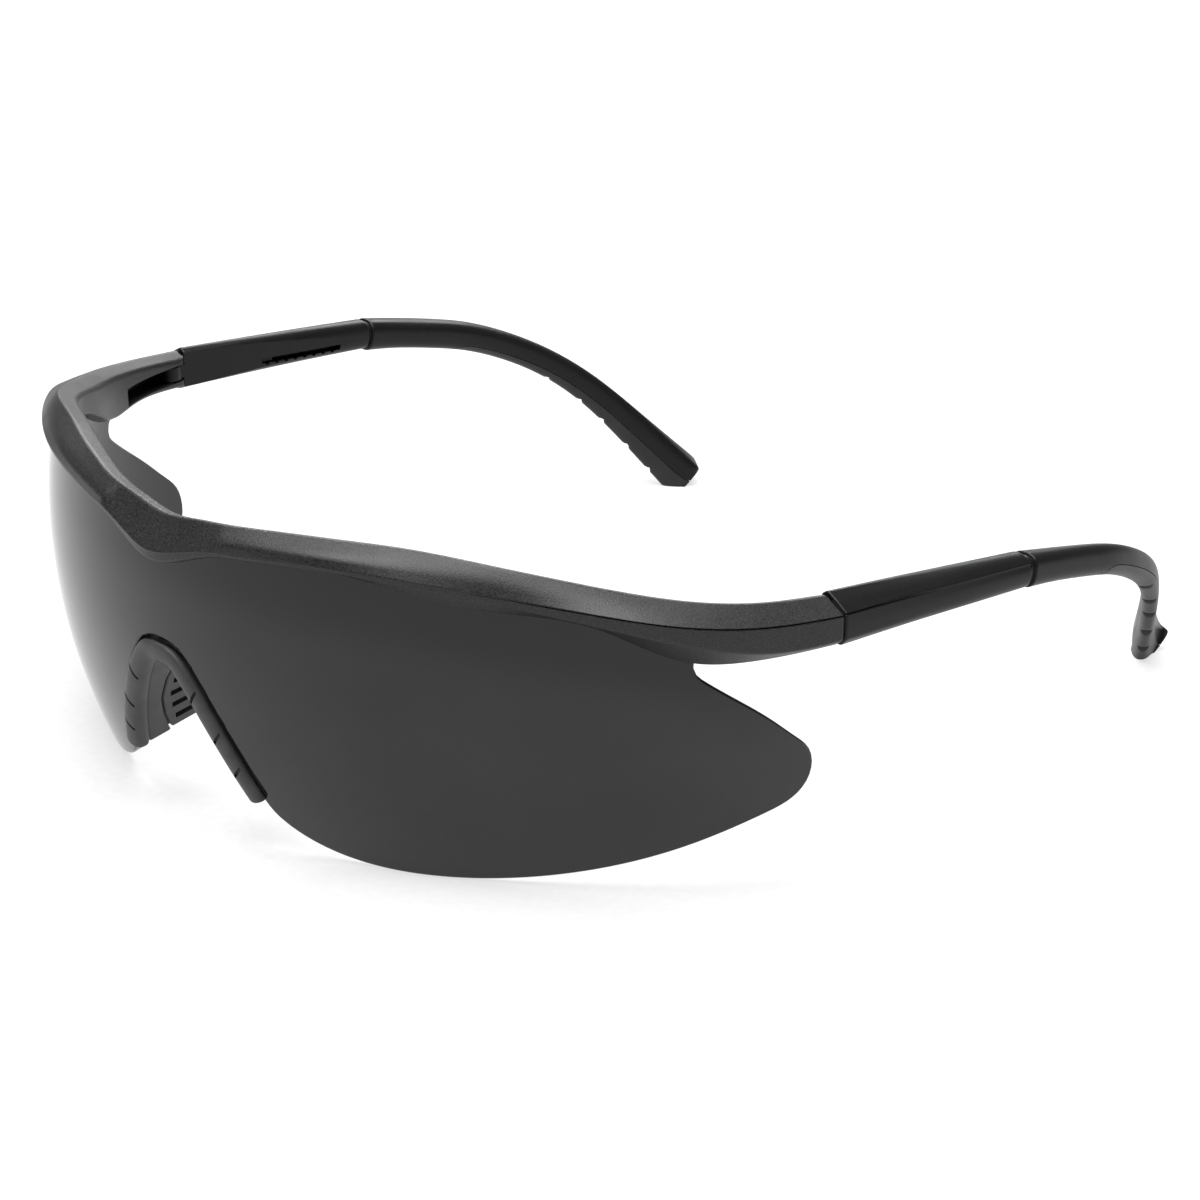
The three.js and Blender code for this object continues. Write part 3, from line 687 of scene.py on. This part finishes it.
SLEEVE_LINE = [(72, SLEEVE_FRONT_Y, -3.5), (72.2, 14, -4.6), (72.35, 27, -5.8), (72.3, SLEEVE_END, -7.1)]
SLEEVE_STEPS = 61
SLEEVE_END_ROUNDING = 0.35
WINDOW = {"span": (16.8, 33.6), "sides": (-4, -1), "ups": (-1.25, -0.35)}
TEETH = {"span": (18, 32.5), "up": -1.2, "radius": 0.4, "sides": (-4.2, -0.9)}
LATCH = {"span": (17.4, 19.4), "sides": (-1.75, -0.5), "ups": (-1.1, -0.5)}


def on_channel(y, side, up):
    """A point in the slide channel's frame: along y, then sideways, then square to the channel."""
    tilt = math.atan(SLIDE_SLOPE)
    return (CHANNEL["x"] + side, y - up * math.sin(tilt),
            CHANNEL["z"] + SLIDE_SLOPE * (y - SLEEVE_END) + up * math.cos(tilt))


def channel_bar(y0, y1, sides, ups, rounding=0.0):
    corners = [(sides[0], ups[0]), (sides[1], ups[0]), (sides[1], ups[1]), (sides[0], ups[1])]
    rings = [np.array([on_channel(y, side, up) for side, up in corners]) for y in (y0, y1)]
    if rounding:
        rings = [fillet(ring, [rounding] * 4, 4) for ring in rings]
    return loft("bar", rings)


def latch_window():
    """The slot in the sleeve's inner wall, with its lower edge scalloped into teeth."""
    cutters = [channel_bar(*WINDOW["span"], WINDOW["sides"], WINDOW["ups"])]
    radius = TEETH["radius"]
    for y in np.arange(*TEETH["span"], TOOTH_PITCH):
        centre = on_channel(y, 0, TEETH["up"])
        ring = [(centre[1] + radius * math.cos(a), centre[2] + radius * math.sin(a))
                for a in np.linspace(0, 2 * math.pi, 24, endpoint=False)]
        cutters.append(loft("tooth", [np.array([(CHANNEL["x"] + side, *point) for point in ring])
                                      for side in TEETH["sides"]]))
    return cutters


def slide_bar(size, y0, y1, rounding=0.0):
    """A bar of the given width and height, centred in the slide channel."""
    sides = (-size["width"] / 2, size["width"] / 2)
    ups = (-size["height"] / 2, size["height"] / 2)
    return channel_bar(y0, y1, sides, ups, rounding)


def shoulder_ring(ring, place):
    """An end section shrunk and set square at y = place, for the shoulder that fills the seam beside it."""
    centre = ring.mean(axis=0)
    ring = centre + (ring - centre) * SHOULDER
    ring[:, 1] = place
    return ring


def build_sleeve():
    line = Spline(SLEEVE_LINE)
    front, rear = np.array(SLEEVE_FRONT), np.array(SLEEVE_REAR)
    rounding = np.array(SLEEVE_ROUNDING)
    rear_rounding = np.array(SLEEVE_REAR_ROUNDING)
    rings = []
    for t in np.linspace(0, 1, SLEEVE_STEPS):
        centre = line.at(t)[0]
        section = front + (rear - front) * t
        groove = GROOVE_IN * (1 - smooth(t / SLEEVE_GROOVE_END))
        crease = section[2]
        section = np.insert(section, 3, [crease - (groove, GROOVE_DOWN), crease - (0, LIP_DOWN)], axis=0)
        corners = [(centre[0] + out, centre[1], centre[2] + up) for out, up in section]
        rings.append(fillet(corners, rounding + (rear_rounding - rounding) * t**1.5, 6))
    x, y = HINGE[0], HINGE[1]
    low, high = POCKET["low"] + GAP, POCKET["high"] - GAP
    tongue = join(post(x, y, low, high, KNUCKLE_RADIUS), block((x - 1.3, y, low), (x + 1.5, 4, high)))
    cut(tongue, post(x, y, -FAR, FAR, PIN_RADIUS + GAP))
    # The shoulder keeps to the outer side of the pin, where it swings clear of the end piece.
    collar = loft("collar", [shoulder_ring(rings[0], SEAM_Y + reach) for reach in (HINGE_PLAY, 1.5)])
    cut(collar, block((60, -5, -FAR), (x + 1.5, 5, FAR)))
    body = join(loft("temple_sleeve", rounded_ends(rings, SLEEVE_END_ROUNDING)), tongue, collar)
    cut(body, block((60, SLEEVE_FRONT_Y, -FAR), (INNER_FLAT_X, SLEEVE_END + 5, FAR)))
    return cut(body, slide_bar(CHANNEL, CHANNEL["front"], SLEEVE_END + 3), *latch_window())


TIP_LINE = [(72.3, SLEEVE_END + 0.5, -7.3), (71.9, 47.4, -8.6), (71.1, 56, -10.6), (69.8, 64.4, -13.2),
            (66.9, 74.3, -18.1), (62.6, 82.5, -24.6), (57.4, 88.8, -32.4), (52.3, 94, -40.1),
            (50.9, 95.7, -42.4)]
TIP_WIDTH = [5.0, 4.7, 4.4, 4.1, 3.5, 2.9, 2.5, 2.4, 2.4]
TIP_HEIGHT = [5.2, 4.8, 4.7, 4.6, 4.6, 5, 5.9, 6.8, 6.8]
TIP_LEAN = [0, 0.1, 0.2, 0.2, 0.16, 0.08, 0, 0, 0]
TIP_FLARE = [0, 0, 0, 0, 0, 0, 0.3, 2.4, 3.6]
TIP_SIDES = 64
TIP_ROUND = 0.75                        # 1 would make the section an ellipse, 0 a rectangle
TIP_STEPS = 190
TIP_END_ROUNDING = 0.35
PAD_START = 0.27                        # share of the tip's length in front of the grip
PAD_SHARE = [-0.35, -0.35, -0.3, -0.1, 0.2]     # height of the parting line down the tip, of half its height
PARTING_GAP = 0.12
GROOVES = [0.545, 0.632, 0.695, 0.765, 0.828]   # places of the grip's grooves along the tip
GROOVE_DEPTH = 0.6
GROOVE_REACH = 0.0055
FLOOR_CUT_ROUNDING = 0.15
TIP_KNOTS = np.linspace(0, 1, len(TIP_LINE))
tip_curve = Spline(TIP_LINE, TIP_KNOTS)
tip_sizes = Spline(np.column_stack([TIP_WIDTH, TIP_HEIGHT, TIP_LEAN, TIP_FLARE]), TIP_KNOTS)


def tip_ring(t, trim):
    """A rounded section of the tip at t. trim(up, half height, t) moves each point's height."""
    centre = tip_curve.at(t)[0]
    tangent = tip_curve.at(min(t + 1e-3, 1))[0] - tip_curve.at(max(t - 1e-3, 0))[0]
    tangent /= np.linalg.norm(tangent)
    width, height, lean, flare = tip_sizes.at(t)[0]
    upper = np.array([0, 0, 1.0]) - tangent * tangent[2]
    upper /= np.linalg.norm(upper)
    upper = np.array(Matrix.Rotation(-lean, 3, Vector(tangent)) @ Vector(upper))
    outward = np.cross(tangent, upper)
    wide, half = width / 2, height / 2
    points = []
    for angle in np.linspace(0, 2 * math.pi, TIP_SIDES, endpoint=False):
        c, s = math.cos(angle), math.sin(angle)
        up = trim(math.copysign(abs(s) ** TIP_ROUND, s) * half, half, t)
        room = wide * (1 - min(1.0, abs(up / half)) ** (2 / TIP_ROUND)) ** (TIP_ROUND / 2)
        out = min(room, max(-room, math.copysign(abs(c) ** TIP_ROUND, c) * wide))
        fin = flare * (0.5 + 0.5 * up / half) * min(1.0, max(0.0, 0.5 + 1.5 * out / wide))
        points.append(centre + outward * (out + fin) + upper * up)
    return np.array(points)


def parting(half, t):
    """Height of the parting line between tip and grip."""
    open_share = min(1.0, (t - PAD_START) / 0.08)
    return half * (read(PAD_SHARE, t) - 0.95 * (1 - open_share) ** 2)


def cut_at_floor(solid):
    """Cuts a solid off where it meets the surface that the glasses stand on, and rounds the cut."""
    shape = bmesh.new()
    shape.from_mesh(solid.data)
    to_design = REST.inverted()
    spot = to_design @ Vector((0, 0, 0))
    normal = (to_design.to_3x3() @ Vector((0, 0, 1))).normalized()
    found = bmesh.ops.bisect_plane(shape, geom=shape.verts[:] + shape.edges[:] + shape.faces[:],
                                   plane_co=spot, plane_no=normal, clear_inner=True, dist=1e-4)
    rim = [item for item in found["geom_cut"] if isinstance(item, bmesh.types.BMEdge)]
    bmesh.ops.contextual_create(shape, geom=rim)
    face_out(shape)
    bmesh.ops.bevel(shape, geom=rim, offset=FLOOR_CUT_ROUNDING, segments=2, affect="EDGES", profile=0.5,
                    clamp_overlap=True)
    shape.to_mesh(solid.data)
    shape.free()
    return solid


def build_tip():
    def trim(up, half, t):
        return max(up, parting(half, t)) if t > PAD_START else up

    rings = [tip_ring(t, trim) for t in np.linspace(0, 1, TIP_STEPS)]
    tip = cut_at_floor(loft("temple_tip", rounded_ends(rings, TIP_END_ROUNDING)))
    slider = slide_bar(SLIDER, SLIDER["front"], SLEEVE_END + 3, rounding=0.2)
    latch = channel_bar(*LATCH["span"], LATCH["sides"], LATCH["ups"])
    shoulder = loft("shoulder", [shoulder_ring(rings[0], SLEEVE_END + reach) for reach in (TIP_PLAY, 2)])
    return join(tip, slider, latch, shoulder)


def build_grip():
    def trim(up, half, t):
        notch = max(GROOVE_DEPTH * math.exp(-((t - g) / GROOVE_REACH) ** 2) for g in GROOVES)
        lifted = max(up, -half + notch)
        return min(lifted, max(parting(half, t) - PARTING_GAP, 0.04 - half))

    rings = [tip_ring(t, trim) for t in np.linspace(PAD_START + 0.02, 1, TIP_STEPS)]
    return cut_at_floor(loft("tip_pad", rounded_ends(rings, TIP_END_ROUNDING, ends=(False, True))))


# ---------------------------------------------------------------- the glasses

publish(build_lens(), "lens", "front", LENS_SMOKE, 50)
publish(build_brow_bar(), "brow_bar", "front", BROW_NYLON)
publish(build_nose_bridge(), "nose_bridge", "front", NOSE_RUBBER)
nose_pad = build_nose_pad()
other_pad = mirrored(nose_pad)
publish(nose_pad, "nose_pad_left", "front", NOSE_RUBBER)
publish(other_pad, "nose_pad_right", "front", NOSE_RUBBER)
publish_pair(build_sleeve(), "temple_sleeve", "temple", TEMPLE_NYLON)
publish_pair(build_tip(), "temple_tip", "tip", TEMPLE_NYLON)
publish_pair(build_grip(), "tip_pad", "tip", GRIP_RUBBER)
for side in ("left", "right"):
    pin = frame["nodes"][f"hinge_pin_{side}"]
    pin.data.materials.clear()
    pin.data.materials.append(PIN_STEEL)

# ---------------------------------------------------------------- camera, light and floor

CAMERA_TARGET = Vector((26.472, 0, -14.125))
CAMERA_DISTANCE = 627.57
CAMERA_AZIMUTH = math.radians(46.0)
CAMERA_ELEVATION = math.radians(22.525)
CAMERA_LENS = 128.98                    # mm, for the sensor below
CAMERA_SENSOR = 36.0


def add_camera():
    back = Vector((math.sin(CAMERA_AZIMUTH) * math.cos(CAMERA_ELEVATION),
                   -math.cos(CAMERA_AZIMUTH) * math.cos(CAMERA_ELEVATION), math.sin(CAMERA_ELEVATION)))
    right = Vector((math.cos(CAMERA_AZIMUTH), math.sin(CAMERA_AZIMUTH), 0))
    up = back.cross(right)
    place = CAMERA_TARGET + back * CAMERA_DISTANCE
    facing = Matrix((right, up, back)).transposed()
    data = bpy.data.cameras.new("camera")
    data.lens = CAMERA_LENS
    data.sensor_width = CAMERA_SENSOR
    data.clip_end = 20
    camera = bpy.data.objects.new("camera", data)
    camera.matrix_world = Matrix.LocRotScale(REST @ place, (turn.to_3x3() @ facing).to_quaternion(), None)
    bpy.context.scene.collection.objects.link(camera)
    bpy.context.scene.camera = camera


def add_softbox(name, place, size, power, target=(0, 0, 0.02)):
    data = bpy.data.lights.new(name, "AREA")
    data.shape = "RECTANGLE"
    data.size, data.size_y = size
    data.energy = power
    light = bpy.data.objects.new(name, data)
    light.location = place
    aim = Vector(target) - Vector(place)
    light.rotation_euler = aim.to_track_quat("-Z", "Y").to_euler()
    bpy.context.scene.collection.objects.link(light)


FLOOR_GLOW = 0.66                       # the lit table under the glasses keeps their shadows faint
FLOOR_HALF = 3.0                        # metres


def add_floor():
    half = FLOOR_HALF
    corners = [(-half, -half, 0), (half, -half, 0), (half, half, 0), (-half, half, 0)]
    floor = new_object("studio_floor", corners, [(0, 1, 2, 3)])
    material, nodes, shader, place = new_material("studio_paper")
    links = material.node_tree.links
    fibre = noise(nodes, links, place, 700, 3)
    links.new(ramp(nodes, links, fibre, [(0.3, 0.22), (0.7, 0.25)]), shader.inputs["Base Color"])
    shader.inputs["Emission Color"].default_value = (1, 1, 1, 1)
    shader.inputs["Emission Strength"].default_value = FLOOR_GLOW
    shader.inputs["Roughness"].default_value = 0.9
    shader.inputs["Specular IOR Level"].default_value = 0.1
    floor.data.materials.append(material)


def add_world():
    world = bpy.data.worlds.new("studio")
    world.use_nodes = True
    background = world.node_tree.nodes["Background"]
    background.inputs["Color"].default_value = (0.93, 0.95, 1.0, 1)
    background.inputs["Strength"].default_value = 0.2
    bpy.context.scene.world = world


add_camera()
add_floor()
add_world()
add_softbox("overhead", (0.0, -0.14, 1.25), (1.2, 1.2), 42)
add_softbox("back_left", (-1.1, 1.1, 0.9), (0.9, 0.7), 15)
bpy.context.scene.view_settings.view_transform = "Standard"
